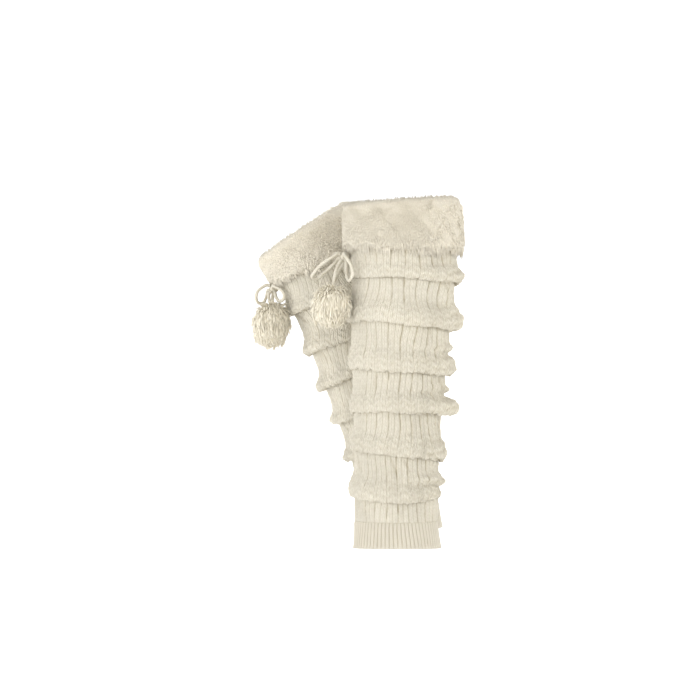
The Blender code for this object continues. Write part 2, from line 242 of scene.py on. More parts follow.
def strandsPiece(name, lines, radii, uvRandom, finish):
    # many thin strands at once: a three-sided tube along each line, with a triangle across its root and a
    # pointed tip
    count, steps = lines.shape[:2]
    sides = 3
    along = unit(np.gradient(lines, axis=1))
    whole = lines[:, -1] - lines[:, 0]
    steep = np.abs(whole[:, 2:]) > 0.6 * np.linalg.norm(whole, axis=1)[:, None]
    guide = np.cross(whole, np.where(steep, [1, 0, 0], [0, 0, 1]))
    across = unit(np.cross(along, guide[:, None]))
    third = np.cross(along, across)
    turn = evenTurns(sides)
    ring = across[:, :, None] * np.cos(turn)[:, None] + third[:, :, None] * np.sin(turn)[:, None]
    rings = lines[:, :-1, None] + ring[:, :-1] * radii[:, :-1, None, None]
    points = np.concatenate([rings.reshape(count, -1, 3), lines[:, -1:]], axis=1)
    each = points.shape[1]
    here = np.arange(each - 1)
    there = here // sides * sides + (here + 1) % sides
    quads = np.stack([here, there, there + sides, here + sides], axis=-1)[:-sides]
    tips = np.stack([here, there, np.full(each - 1, each - 1)], axis=-1)[-sides:]
    start = np.arange(count)[:, None, None] * each
    oneStrand = (quads, tips, np.array([[2, 1, 0]]))
    faceSets = [(start + faces).reshape(-1, faces.shape[1]) for faces in oneStrand]
    u = np.repeat(uvRandom, each)
    v = np.tile(np.append(np.repeat(np.arange(steps - 1) / (steps - 1), sides), 1.0), count)
    uvSets = [np.stack([u[faces], v[faces]], axis=-1) for faces in faceSets]
    return meshPiece(name, points.reshape(-1, 3), faceSets, uvSets, finish)


# Camera and stage
view = {"place": (-0.0786, -3.2, -0.1775), "lens": 133.6, "sensor": 36.0}
stage = {
    "floor": -0.571, "flat": 4.2, "bend": 1.3, "top": 3.6, "sides": 96, "glow": 0.48, "gloss": 0.85,
    "tone": (0.93, 0.93, 0.93, 1.0), "room": 0.7, "aim": (0, 0, -0.2), "lightSize": 1.2,
}
stageLights = {
    "frontLight": ((-0.4, -3.3, 0.8), 9.0), "leftLight": ((-2.2, -1.2, 0.2), 5.0),
    "rightLight": ((2.0, -0.8, 0.7), 2.2), "backLight": ((0.3, 3.3, 1.2), 8.0),
}


def placeCamera():
    # level, straight along the depth axis, as far off as the photograph's perspective shows
    lens = bpy.data.cameras.new("viewCamera")
    lens.lens = view["lens"]
    lens.sensor_width = view["sensor"]
    camera = bpy.data.objects.new("viewCamera", lens)
    camera.location = view["place"]
    camera.rotation_euler = (math.pi / 2, 0, 0)
    bpy.context.scene.collection.objects.link(camera)
    bpy.context.scene.camera = camera


placeCamera()


# Shader helpers and the effects that several materials share

def linearColour(red, green, blue):
    # a colour as a screen shows it, from 0 to 255, made linear
    share = np.array([red, green, blue]) / 255
    linear = np.where(share <= 0.04045, share / 12.92, ((share + 0.055) / 1.055) ** 2.4)
    return (*linear.tolist(), 1.0)


def feed(socket, value):
    # a link into the socket if the value is another socket, or else its own value
    if isinstance(value, bpy.types.NodeSocket):
        socket.id_data.links.new(value, socket)
    else:
        socket.default_value = value


def addNode(tree, kind, inputs={}, **settings):
    # a node with its settings made first, and then its inputs fed
    node = tree.nodes.new(kind)
    for name, value in settings.items():
        setattr(node, name, value)
    for key, value in inputs.items():
        feed(node.inputs[key], value)
    return node


def calc(operation, *values):
    # one Math node, in the tree of the first socket among its values
    tree = next(value.id_data for value in values if isinstance(value, bpy.types.NodeSocket))
    return addNode(tree, "ShaderNodeMath", dict(enumerate(values)), operation=operation).outputs[0]


def colourMix(share, first, second):
    # one colour Mix node between two colours or sockets, by a share from another node
    inputs = {0: share, 6: first, 7: second}
    return addNode(share.id_data, "ShaderNodeMix", inputs, data_type="RGBA").outputs[2]


def noiseOf(vector, scale, detail=3.0, rough=0.55):
    # a noise on the given coordinates, as a value from 0 to 1
    inputs = {"Vector": vector, "Scale": scale, "Detail": detail, "Roughness": rough}
    return addNode(vector.id_data, "ShaderNodeTexNoise", inputs).outputs["Fac"]


def newGroup(name, inputs, outputs):
    # an empty shader node group; an input without a number is a vector, and each output is a number
    tree = bpy.data.node_groups.new(name, "ShaderNodeTree")
    for label, value in inputs.items():
        kind = "NodeSocketVector" if value is None else "NodeSocketFloat"
        socket = tree.interface.new_socket(name=label, in_out="INPUT", socket_type=kind)
        if value is not None:
            socket.default_value = value
    for label in outputs:
        tree.interface.new_socket(name=label, in_out="OUTPUT", socket_type="NodeSocketFloat")
    return tree, tree.nodes.new("NodeGroupInput").outputs, tree.nodes.new("NodeGroupOutput").inputs


def makeStitchGroup():
    # knit stitches: u counts columns and v counts rows; each column has two legs that lean into a V
    settings = {"Yarn UV": None, "Lean": 0.9, "Unevenness": 0.2}
    tree, inputs, outputs = newGroup("knitStitches", settings, ("Height", "GapShade"))
    wobble = calc("MULTIPLY", calc("SUBTRACT", noiseOf(inputs[0], 0.9), 0.5), inputs[2])
    split = addNode(tree, "ShaderNodeSeparateXYZ", {0: inputs[0]}).outputs
    column = calc("FRACT", calc("ADD", split[0], wobble))
    fromMiddle = calc("MULTIPLY", calc("ABSOLUTE", calc("SUBTRACT", column, 0.5)), 2.0)
    leg = calc("SINE", calc("MULTIPLY", fromMiddle, math.pi))
    row = calc("FRACT", calc("ADD", split[1], calc("MULTIPLY", fromMiddle, inputs[1])))
    loop = calc("SINE", calc("MULTIPLY", row, math.pi))
    height = calc("MULTIPLY", calc("POWER", leg, 0.6), calc("ADD", calc("MULTIPLY", loop, 0.6), 0.4))
    feed(outputs[0], height)
    # where painted shade goes, between the legs and between the rows
    feed(outputs[1], calc("SUBTRACT", 1.0, height))
    return tree


def makeFuzzGroup():
    # woolly fuzz: a fine noise and a broad one, as a height, and as a mask for paler and darker patches
    settings = {"Place": None, "Fine Scale": 1400.0, "Broad Scale": 40.0}
    tree, inputs, outputs = newGroup("woolFuzz", settings, ("Height", "Patches"))
    fine = noiseOf(inputs[0], inputs[1], 4.0, 0.7)
    broad = noiseOf(inputs[0], inputs[2], 3.0, 0.5)
    feed(outputs[0], calc("ADD", fine, calc("MULTIPLY", broad, 0.3)))
    spread = calc("MULTIPLY", calc("SUBTRACT", broad, 0.5), 2.2)
    feed(outputs[1], addNode(tree, "ShaderNodeClamp", {0: calc("ADD", spread, 0.5)}).outputs[0])
    return tree


stitchGroup = makeStitchGroup()
fuzzGroup = makeFuzzGroup()


def startMaterial(name, settings):
    # a material with its shader's inputs set
    material = bpy.data.materials.new(name)
    material.use_nodes = True
    shader = material.node_tree.nodes["Principled BSDF"]
    for key, value in settings.items():
        feed(shader.inputs[key], value)
    return material, material.node_tree, shader.inputs


def woolMaterial(name, sheen, roughness, fine, broad):
    # matt, with a sheen: also gives its yarn UV, and fuzz of two scales on the piece's own coordinates
    material, tree, inputs = startMaterial(name, {
        "Roughness": roughness, "Specular IOR Level": 0.15, "Sheen Weight": sheen,
        "Sheen Roughness": 0.5, "Sheen Tint": linearColour(250, 246, 236),
    })
    place = addNode(tree, "ShaderNodeTexCoord").outputs["Object"]
    uv = addNode(tree, "ShaderNodeUVMap", uv_map="yarn").outputs[0]
    scales = {"Place": place, "Fine Scale": fine, "Broad Scale": broad}
    return material, tree, inputs, uv, addNode(tree, "ShaderNodeGroup", scales, node_tree=fuzzGroup).outputs


def bumpInto(inputs, height, strength, distance):
    # a Bump node from a height into the shader's normal
    settings = {"Strength": strength, "Distance": distance, "Height": height}
    feed(inputs["Normal"], addNode(height.id_data, "ShaderNodeBump", settings).outputs[0])


def knitMaterial(name, look):
    # cream wool: paler and darker patches, painted shade in hollows and stitch gaps, V stitches and fuzz as
    # relief
    material, tree, inputs, uv, fuzz = woolMaterial(name, 0.25, 0.92, 1500.0, 45.0)
    settings = {"Yarn UV": uv, "Lean": look["lean"], "Unevenness": 0.4}
    stitches = addNode(tree, "ShaderNodeGroup", settings, node_tree=stitchGroup).outputs
    hollowShade = addNode(tree, "ShaderNodeAttribute", attribute_name="hollowShade").outputs["Fac"]
    light, shade, gap, hollowShadeTone = (linearColour(*look[tone]) for tone in ("light", "shade", "gap", "hollowShade"))
    wool = colourMix(fuzz["Patches"], shade, light)
    # painted shade in the gaps between stitch legs
    wool = colourMix(calc("MULTIPLY", stitches["GapShade"], 0.8), wool, gap)
    # painted shade in hollows, grooves and creases, by each point's share
    wool = colourMix(calc("MULTIPLY", hollowShade, 0.85), wool, hollowShadeTone)
    feed(inputs["Base Color"], wool)
    height = calc("ADD", stitches["Height"], calc("MULTIPLY", fuzz["Height"], 0.35))
    bumpInto(inputs, height, 0.8, look["depth"])
    return material


def furMaterial(name, look):
    # fur or yarn ends: darker at the root, a painted shade deep in the pile, and pale at the tip; each strand
    # a little different
    material, tree, inputs, uv, fuzz = woolMaterial(name, look["sheen"], 0.9, 1800.0, 60.0)
    split = addNode(tree, "ShaderNodeSeparateXYZ", {0: uv}).outputs
    light, shade, root = (linearColour(*look[tone]) for tone in ("light", "shade", "root"))
    # each strand's u: its own tone, with painted light on the strands of the foot fringe and the far cuff
    strand = colourMix(split[0], shade, light)
    strand = colourMix(calc("MULTIPLY", fuzz["Patches"], 0.25), strand, light)
    # painted shade towards each strand's root
    strand = colourMix(calc("POWER", calc("SUBTRACT", 1.0, split[1]), 1.6), strand, root)
    feed(inputs["Base Color"], strand)
    bumpInto(inputs, fuzz["Height"], 0.4, 0.0004)
    return material


def floorMaterial(name, colour, roughness, glow):
    # one matt colour with a faint unevenness in its gloss, and a glow of the same colour
    settings = {"Base Color": colour, "Emission Color": colour, "Emission Strength": glow}
    material, tree, inputs = startMaterial(name, settings)
    place = addNode(tree, "ShaderNodeTexCoord").outputs["Object"]
    feed(inputs["Roughness"], calc("ADD", calc("MULTIPLY", noiseOf(place, 3.0), 0.05), roughness))
    return material


# The finishes' tones are as a screen shows them, and the stitches' depths are in metres
# in each, the gap tone is painted shade between stitch legs, and the darkest tone painted shade in hollows
# and creases
knitLooks = {
    "Knit": {"light": (250, 245, 231), "shade": (245, 239, 223), "gap": (217, 208, 186),
             "hollowShade": (184, 171, 140), "depth": 0.0019, "lean": 0.95},
    "Rib": {"light": (222, 216, 202), "shade": (216, 210, 195), "gap": (200, 192, 173),
            "hollowShade": (180, 170, 147), "depth": 0.0008, "lean": 0.8},
    "Cord": {"light": (249, 244, 231), "shade": (243, 237, 221), "gap": (226, 218, 198),
             "hollowShade": (208, 198, 173), "depth": 0.0006, "lean": 1.2},
    "Backing": {"light": (232, 225, 209), "shade": (227, 219, 202), "gap": (212, 203, 184),
                "hollowShade": (196, 186, 162), "depth": 0.0007, "lean": 0.9},
}
furLooks = {
    "Fur": {"light": (252, 245, 229), "shade": (218, 211, 194), "root": (224, 215, 195), "sheen": 0.18},
    "Pompom": {"light": (246, 239, 221), "shade": (237, 229, 209), "root": (232, 223, 200), "sheen": 0.2},
}
finishes = {name: knitMaterial(f"cream{name}", look) for name, look in knitLooks.items()}
finishes.update({name: furMaterial(f"cream{name}", look) for name, look in furLooks.items()})
print("materials made")


# Tie cords, knots and pompoms. A route's first point, and a loop's last one, is the side on which the cord
# leaves the knot, and an end's last point is the middle of its pompom.
cordLook = {"diameter": 4.0, "plies": 3, "twist": 9.0, "sides": 24, "step": 0.9, "knot": (12.0, 15.0, 12.0)}
knotClear = {"gap": 0.7, "stem": 3.5}
bows = {
    "left": {
        "angle": 184.0, "level": 70.0, "standOff": 7.1,
        "FrontLoop": [
            (-9, -2.5, 3.5), (-16, -6, -1), (-28, -7, -9), (-38, -4, -19), (-42, 2, -26), (-37, 7, -28),
            (-26, 8, -20), (-14, 7, -9), (-7.5, 6, -2.5),
        ],
        "SideLoop": [
            (-1, -9.7, 2.5), (0, -18, 0), (4, -28, -6), (8, -36, -15), (9, -37, -25), (5, -31, -31),
            (2, -21, -26), (1, -13, -15), (1, -8, -6),
        ],
        "NearEnd": [(-6.5, -3.5, -7), (-10, -8, -14), (-13, -15, -25), (-15, -21, -37), (-16.5, -24, -62)],
        "FarEnd": [(-2, 5, -8.5), (-6, 10, -15), (-11, 18, -24), (-16, 25, -37), (-18, 28, -65)],
    },
    "right": {
        "angle": 183.0, "level": 42.5, "standOff": 7.1,
        "FrontLoop": [
            (-9, -2.5, 3.5), (-15, -6, 1), (-22, -8, -5), (-24, -6, -13), (-21, -1, -20), (-15, 4, -20),
            (-11, 7, -12), (-7.5, 6, -2.5),
        ],
        "SideLoop": [
            (-1, -9.7, 2.5), (2, -17, 1), (8, -25, -2), (13, -31, -8), (13, -31, -15), (8, -25, -18),
            (3, -16, -13), (1, -8, -6),
        ],
        "NearEnd": [(-6.5, -3.5, -7), (-7, -9, -13), (-5, -17, -20), (-2.5, -24, -45)],
        "FarEnd": [(-2, 5, -8.5), (-3, 12, -16), (-3, 20, -24), (-4, 25, -33), (-5, 25.5, -55)],
    },
}
pompomLook = {
    "strands": 1900, "radius": 25.6, "lie": 0.6, "short": 0.24, "thick": 1.0, "droop": 2.8, "curl": 2.7,
    "heart": 21.2, "shape": (0.97, 0.97, 1.06), "longShare": 0.12, "longer": 1.12,
}
pompomFlat = 13.0 / math.sqrt(1 + 2 * math.tan(math.radians(15)) ** 2)


def stem(side):
    # the cord's first two points, straight out of the knot's surface on the given side
    ray = np.asarray(side, float)
    ray = ray / np.linalg.norm(ray)
    surface = 1 / np.linalg.norm(ray / (np.array(cordLook["knot"]) / 2))
    return ray * (surface + knotClear["gap"]), ray * (surface + knotClear["gap"] + knotClear["stem"])


def routeLine(points, step):
    # a smooth curve through the route's points, with points a step apart, in metres
    points = np.asarray(points, float)
    marks = runAlong(points)
    at = np.linspace(0, marks[-1], round(marks[-1] / step) + 1)
    return mm * np.stack([curveThrough(marks, points[:, axis], at) for axis in range(3)], axis=1)


def pliedCord(name, line):
    # a ring with one lobe for each ply, turned steadily as it is carried along the line, closed at both ends
    along = unit(np.gradient(line, axis=0))
    across = np.cross(along[0], [0.3, 0.5, 0.8])
    frames = []
    for ray in along:
        across = unit(across - ray * (across @ ray))
        frames.append(across)
    across = np.array(frames)
    third = np.cross(along, across)
    run = runAlong(line) / mm
    turn = evenTurns(cordLook["sides"])
    lobe = turn[None, :] - 2 * math.pi * run[:, None] / cordLook["twist"]
    radius = cordLook["diameter"] / 2 * (0.86 + 0.28 * np.abs(np.cos(cordLook["plies"] / 2 * lobe)))
    radius = radius * (1 + 0.05 * np.sin(run / 3.1))[:, None]
    ring = across[:, None] * np.cos(turn)[:, None] + third[:, None] * np.sin(turn)[:, None]
    grid = line[:, None] + mm * radius[..., None] * ring
    closed = np.concatenate([lobe, lobe[:, :1] + 2 * math.pi], axis=1)
    uv = (closed * cordLook["plies"] / (2 * math.pi), run[:, None] / 2.2)
    # painted shade in the grooves between the plies
    shade = (1.14 * cordLook["diameter"] / 2 - radius) / 0.8
    return closedTube(name, grid, line[[0, -1]], uv, finishes["Cord"], shade)


def ballPiece(name, middle, half, swellOf, finish):
    # an ellipsoid, its half sizes times the given function's swell for each direction, closed at both poles
    rows, columns = 44, 60
    down, turn = np.meshgrid(np.linspace(0.02, math.pi - 0.02, rows), evenTurns(columns), indexing="ij")
    ball = np.stack([np.sin(down) * np.cos(turn), np.sin(down) * np.sin(turn), np.cos(down)], axis=-1)
    swell, shade = swellOf(ball)
    grid = middle * mm + mm * half * ball * swell[..., None]
    uv = (np.linspace(0, 12, columns + 1)[None, :], np.linspace(0, 10, rows)[:, None])
    return closedTube(name, grid, grid[[0, -1]].mean(axis=1), uv, finish, shade)


def knotSwell(ball):
    # three wraps of cord, side by side and slightly slanted, each with a faint twist, and painted shade
    # between them
    across = ball[..., 1] * 2.1 + 0.45 * ball[..., 2]
    wraps = np.abs(np.cos(math.pi * across * 0.72))
    plies = 0.12 * np.sin(14 * np.arctan2(ball[..., 2], ball[..., 0]) + 5 * across)
    return 0.80 + 0.26 * wraps ** 0.7 + 0.22 * plies * wraps, (1 - wraps) * 0.9


def heartSwell(ball):
    # a nearly round ball with soft lumps, which closes the view between the yarn ends
    lumps = np.sin(9 * ball[..., 0] + 2) * np.sin(8 * ball[..., 1]) * np.sin(10 * ball[..., 2] + 1)
    return 1 + 0.04 * lumps, 0.4 + 0 * lumps


def pompomPiece(name, centre, towards, seed):
    # yarn ends on a spiral round the ball: each leaves it nearer to the cord and lies over it, out to a tip
    # that droops
    pick = np.random.default_rng(seed)
    count = pompomLook["strands"]
    number = np.arange(count) + 0.5
    height = 1 - 2 * number / count
    turn = number * math.pi * (3 - math.sqrt(5))
    flat = np.sqrt(1 - height ** 2)
    rays = np.stack([flat * np.cos(turn), flat * np.sin(turn), height], axis=-1)
    rays = unit(rays + pick.normal(0, 0.08, (count, 3)))
    lock = np.sin(rays @ pick.normal(0, 5, (3, 4)) + pick.uniform(0, 6, 4)).mean(axis=1)
    reach = pompomLook["radius"] * (1 - pompomLook["short"] * pick.random(count) + 0.1 * lock)
    reach = reach * np.where(pick.random(count) < pompomLook["longShare"], pompomLook["longer"], 1.0)
    aside = unit(np.cross(rays, pick.normal(0, 1, (count, 3))))
    lean = np.array([1.0, 0.64, 0.28, 0.0])[None, :, None] * pompomLook["lie"]
    lean = lean * pick.uniform(0.7, 1.15, (count, 1, 1))
    ways = unit(rays[:, None] + lean * towards)
    line = ways * np.array([0.62, 0.88, 0.98, 1.0])[None, :, None] * reach[:, None, None]
    at = np.array([0.0, 0.38, 0.74, 1.0])[None, :, None]
    wave = np.sin(4.5 * at + pick.uniform(0, 3, (count, 1, 1))) * at * pick.uniform(0.2, 1.0, (count, 1, 1))
    line = (line + aside[:, None] * pompomLook["curl"] * wave) * pompomLook["shape"]
    line[..., 2] -= pompomLook["droop"] * at[..., 0] ** 2 * (1 - rays[:, 2:3] ** 2)
    thick = pompomLook["thick"] * np.array([0.8, 1.0, 0.95, 0.0]) * pick.uniform(0.75, 1.25, (count, 1))
    return strandsPiece(name, centre * mm + line * mm, thick * mm, pick.random(count), finishes["Pompom"])


def addBow(side):
    # the knot, two loops and two ends of one tie, each end with its pompom
    plan = bows[side]
    middle = onTube(tubes[side], math.radians(plan["angle"]), plan["level"], plan["standOff"]) / mm
    knot = ballPiece(f"{side}Knot", middle, np.array(cordLook["knot"]) / 2, knotSwell, finishes["Cord"])
    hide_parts(f"tie_knot_{side}")
    pieces = [knot]
    for loop, node in (("FrontLoop", "tie_loop_front"), ("SideLoop", "tie_loop_side")):
        route = plan[loop]
        points = middle + np.array([*stem(route[0]), *route[1:-1], *stem(route[-1])[::-1]], float)
        line = routeLine(points, cordLook["step"])
        cord = pliedCord(f"{side}{loop}", line)
        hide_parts(f"{node}_{side}")
        pieces.append(cord)
    for end in ("Near", "Far"):
        node = end.lower()
        route = plan[f"{end}End"]
        points = middle + np.array([*stem(route[0]), *route[1:]], float)
        centre = points[-1].copy()
        inwards = unit(points[-2] - centre)
        points[-1] = centre + (pompomFlat + seamGap) * inwards
        line = routeLine(points, cordLook["step"])
        cord = pliedCord(f"{side}{end}End", line)
        ball = pompomPiece(f"{side}{end}Pompom", centre, inwards, seeds[side][node])
        heart = ballPiece(f"{side}{end}Heart", centre, pompomLook["heart"], heartSwell, finishes["Pompom"])
        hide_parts(f"tie_end_{node}_{side}")
        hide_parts(f"pompom_{node}_{side}")
        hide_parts(f"pompom_{node}_{side}")
        pieces += [cord, ball, heart]
    for piece in pieces:
        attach(piece, "root")


for side in ("left", "right"):
    addBow(side)
print("ties and pompoms made")


# Knit tubes. A roll has its crease on the four sides, how far it swells out, how much its crease wanders, and
# pockets where it pulls in deeper: an angle, a width and a depth. A dent is a shallower fold inside a roll,
# mostly at the back.
knitLook = {
    "cables": 24, "perCable": 22, "rowStep": 2.45, "innerColumns": 66, "innerRows": 54,
    "ropeRise": 0.9, "gutter": 0.75, "twistRise": 0.85, "stitchRise": 0.4, "crossing": 8.5,
    "stitchesPerCable": 4, "stitchRow": 4.0, "slant": 0.26, "spread": 0.16, "gather": 0.7, "grain": 0.42,
    "lump": {"left": 0.6, "right": 1.3}, "lined": {"left": 1.0, "right": 0.6}, "pleat": 0.9, "deepest": 2.3,
    "tuck": 3.5, "lip": 1.8, "stray": 4.5, "lastNeck": 3.0, "overHem": 1.3,
}
rolls = {
    "left": [
        ((104, 101, 99, 99), (11, 8, 3, 6), 1.4, [(20, 25, 1.2), (250, 30, 1.0)]),
        ((164, 158, 152, 156), (14, 9, 6, 8), 1.8, [(335, 22, 1.3), (120, 30, 1.0)]),
        ((221, 217, 213, 216), (12, 9, 5, 8), 2.0, [(310, 25, 1.3), (60, 24, 1.2)]),
        ((270, 271, 268, 267), (18, 10, 5, 9), 1.8, [(325, 28, 1.4), (200, 30, 1.0)]),
        ((329, 325, 317, 321), (9, 8, 5, 7), 2.4, [(300, 18, 1.6), (345, 20, 1.6), (90, 24, 1.2)]),
        ((374, 383, 375, 380), (4, 6, 7, 7), 2.2, [(268, 14, 1.1), (300, 14, 1.2), (130, 26, 1.2)]),
    ],
    "right": [
        ((100, 97, 92, 96), (9, 8, 10, 7), 1.6, [(200, 26, 1.2), (310, 30, 1.0)]),
        ((158, 160, 156, 155), (13, 8, 12, 8), 2.2, [(180, 24, 1.3), (320, 24, 1.2)]),
        ((205, 209, 207, 203), (10, 8, 12, 8), 2.2, [(220, 22, 1.3), (70, 28, 1.2)]),
        ((262, 257, 256, 258), (14, 10, 10, 8), 2.4, [(190, 24, 1.3), (350, 24, 1.2)]),
        ((311, 307, 309, 307), (10, 8, 10, 7), 2.0, [(170, 22, 1.3), (290, 26, 1.2)]),
        ((362, 365, 358, 362), (7, 8, 8, 7), 2.2, [(210, 20, 1.4), (300, 20, 1.4)]),
    ],
}
dents = {
    "left": [((193, 190, 190, 188), 13, (7, 4, 0, 0)), ((245, 243, 241, 242), 12, (8, 3, 0, 0)),
             ((361, 357, 355, 356), 14, (11, 5, 0, 1))],
    "right": [((131, 128, 126, 126), 12, (8, 4, 0, 1)), ((231, 229, 227, 228), 12, (9, 4, 0, 0)),
              ((337, 334, 331, 332), 12, (10, 5, 0, 1))],
}
# A roll from the crease above it to its own: share of the way, share of its swell, and share of the lip's
# drop below it
rollLine = {
    "left": [
        (0.06, 0.02, 0), (0.25, 0.06, 0), (0.42, 0.13, 0), (0.54, 0.30, 0), (0.64, 0.62, 0), (0.74, 0.89, 0),
        (0.84, 1.0, 0), (0.92, 0.95, 0), (0.98, 0.78, 0.3), (1.0, 0.52, 0.9), (1.0, 0.25, 0.8), (1.0, 0.0, 0),
    ],
    "right": [
        (0.06, 0.02, 0), (0.28, 0.03, 0), (0.48, 0.08, 0), (0.62, 0.20, 0), (0.73, 0.44, 0), (0.82, 0.74, 0),
        (0.89, 0.95, 0), (0.95, 1.0, 0), (0.98, 0.86, 0.6), (1.0, 0.57, 1.1), (1.0, 0.26, 0.9), (1.0, 0.0, 0),
    ],
}
innerLine = [(0.3, 0.1, 0), (0.75, 0.8, 0), (1.0, 0.0, 0)]


def outOfSight(side, angle):
    # 0 where the photograph shows the cloth and 1 where it doesn't, softly between
    if side == "left":
        return np.clip(2 * np.sin(angle), 0, 1)
    return 1 - np.clip(2 * np.cos(angle - math.radians(225)), 0, 1)


def rollRows(side, angle, sections, fine):
    # every section's level, swell, pocket depth and share of its roll, as rows of values round the tube, from
    # the tuck under the cuff to the seam over the hem
    tube = tubes[side]
    none = 0 * angle
    above = roundTube(tube["cuffFoot"], angle) - knitLook["tuck"]
    rows = [(above, none, none, none)]
    for number, (crease, swell, wander, pockets) in enumerate(rolls[side]):
        seed = 100 * number + seeds[side]["rolls"]
        line = roundTube(crease, angle)
        size = np.maximum(roundTube(swell, angle), 0.0)
        pocket = none
        lip = knitLook["lip"] + none
        away = outOfSight(side, angle)
        line = line + knitLook["stray"] * away * ringWaves(seed + 20, angle, (1, 3), 5)
        size = size * np.clip(1 + 0.5 * away * ringWaves(seed + 21, angle, (2, 5), 5), 0.35, 1.5)
        if fine:
            line = line + 0.7 * wander * ringWaves(seed, angle, (1, 6))
            line = line + 0.6 * wander * ringWaves(seed + 4, angle, (14, 40), 10)
            size = size * (1.12 + 0.2 * ringWaves(seed + 1, angle, (2, 9)))
            lip = lip + 0.6 * np.cos(angle) + 1.2 * ringWaves(seed + 2, angle, (3, 24), 10)
            pocket = 0.35 + 1.1 * np.clip(ringWaves(seed + 3, angle, (4, 17), 10) - 0.2, 0, 1)
            for middle, width, depth in pockets:
                beside = nearTurn(np.degrees(angle) - middle, 360)
                pocket = pocket + depth * np.exp(-(beside / width) ** 2)
                size = size * (1 - 0.16 * depth * np.exp(-(beside / (0.6 * width)) ** 2))
        for share, out, drop in sections:
            level = above + share * (line - above) + drop * lip * np.clip(size / 4, 0, 1)
            rows.append((level, out * size, pocket * (out < 0.3) * (share == 1.0), out + none))
        above = line
    seam = tube["hemTop"] + knitLook["overHem"] + 0.7 * ringWaves(40, angle, (20, 60), 10)
    rows += [(above + knitLook["lastNeck"], none, none, none), (seam, 0.3 + none, none, none)]
    return [np.array(part) for part in zip(*rows)]


def dented(side, angle, level, out):
    # each dent draws the roll in to its crease by a bell, under a bulge that rises softly and ends sharply
    for crease, height, swell in dents[side]:
        line = roundTube(crease, angle) + 1.5 * ringWaves(int(crease[0]), angle, (1, 5))
        size = np.maximum(roundTube(swell, angle), 0.0)
        above = (line - level) / height
        bulge = np.where(above > 0, np.exp(-((above - 0.42) / 0.42) ** 2) * np.clip(above / 0.18, 0, 1), 0.0)
        drawn = np.clip(size / 7, 0, 0.85) * np.exp(-((level - line) / 6.0) ** 2)
        out = out * (1 - drawn) + 0.75 * size * bulge
    return out


def smoothRows(rows, spots):
    # a smooth curve through the rows, each value with half the difference of its neighbours as its slope
    slopes = np.gradient(rows, axis=0)
    i = np.clip(np.floor(spots).astype(int), 0, len(rows) - 2)
    t = (spots - i)[:, None]
    start = (1 + 2 * t) * (1 - t) ** 2 * rows[i] + t * (1 - t) ** 2 * slopes[i]
    return start + t * t * (3 - 2 * t) * rows[i + 1] + t * t * (t - 1) * slopes[i + 1]


def evenSpots(levels, outs, step):
    # places along the rows that are a step of cloth apart on the mean column
    gaps = np.hypot(np.diff(levels.mean(axis=1)), np.diff(outs.mean(axis=1)))
    run = np.concatenate([[0.0], np.cumsum(np.maximum(gaps, 0.6))])
    return np.interp(np.linspace(0, run[-1], round(run[-1] / step) + 1), run, np.arange(len(run)))


def cableRelief(side, angle, level, run, plump):
    # two ropes to a cable, each rounded and crossed by slanting bumps, with a line of stitches down it and
    # gutters beside it
    cables = knitLook["cables"]
    seed = seeds[side]["cables"]
    place = cables * angle / (2 * math.pi)
    place = place + knitLook["slant"] * softWaves(seed, angle, level, (1, 4), (60, 150))
    place = place + knitLook["spread"] * ringWaves(seed + 7, angle, (5, 11))
    ropes = 2 * place
    number = np.floor(ropes)
    x = 2 * (ropes - number) - 1
    which = number.astype(int) % (2 * cables)
    spread = np.random.default_rng(seed + 40).random((2 * cables, 3))
    length = knitLook["crossing"] * (0.8 + 0.4 * spread[which, 0])
    lean = np.where(which % 2 == 0, 1, -1)
    bumps = np.sin(2 * math.pi * (run / length + spread[which, 1]) + 1.7 * lean * x)
    rope = 1 - np.abs(x) ** 2.4
    stitch = np.abs(np.sin(math.pi * x)) ** 0.7
    between = np.abs(place - np.round(place)) * 2
    gutter = np.exp(-(between / 0.17) ** 2)
    edge = 4 * plump * (1 - plump)
    plump = np.clip(plump + 0.7 * edge * softWaves(seed + 11, angle, level, (8, 40), (40, 90), 12), 0, 1)
    flat = 1 - 0.8 * plump
    back = 0.5 + 0.5 * np.cos(angle)
    own = np.random.default_rng(seed + 50).uniform(0.2, 1.2, cables)[np.round(place).astype(int) % cables]
    uneven = softWaves(seed + 3, angle, level, (6, 30), (24, 90), 14)
    broken = np.clip(0.85 + 1.1 * softWaves(seed + 9, angle, level, (10, 40), (9, 24), 14), 0.1, 1.4)
    strength = np.clip(own + 1.1 * back ** 2 + 0.7 * uneven, 0.05, 2.3) * flat * broken
    strength = strength * knitLook["lined"][side]
    rough = knitLook["twistRise"] * (0.35 + 0.95 * plump)
    height = knitLook["ropeRise"] * rope * (0.45 + 0.55 * flat) + rough * bumps * rope
    height = height + knitLook["stitchRise"] * stitch - knitLook["gutter"] * strength * gutter
    # painted shade in the gutters, between the ropes, between stitches and in the bumps' dips
    hollowShade = 0.42 * gutter * strength + 0.35 * (1 - rope) ** 2 * (0.3 + 0.7 * flat) + 0.25 * (1 - stitch)
    return height - 0.5 * flat, place, hollowShade + (0.08 + 0.16 * plump) * (1 - bumps) * rope


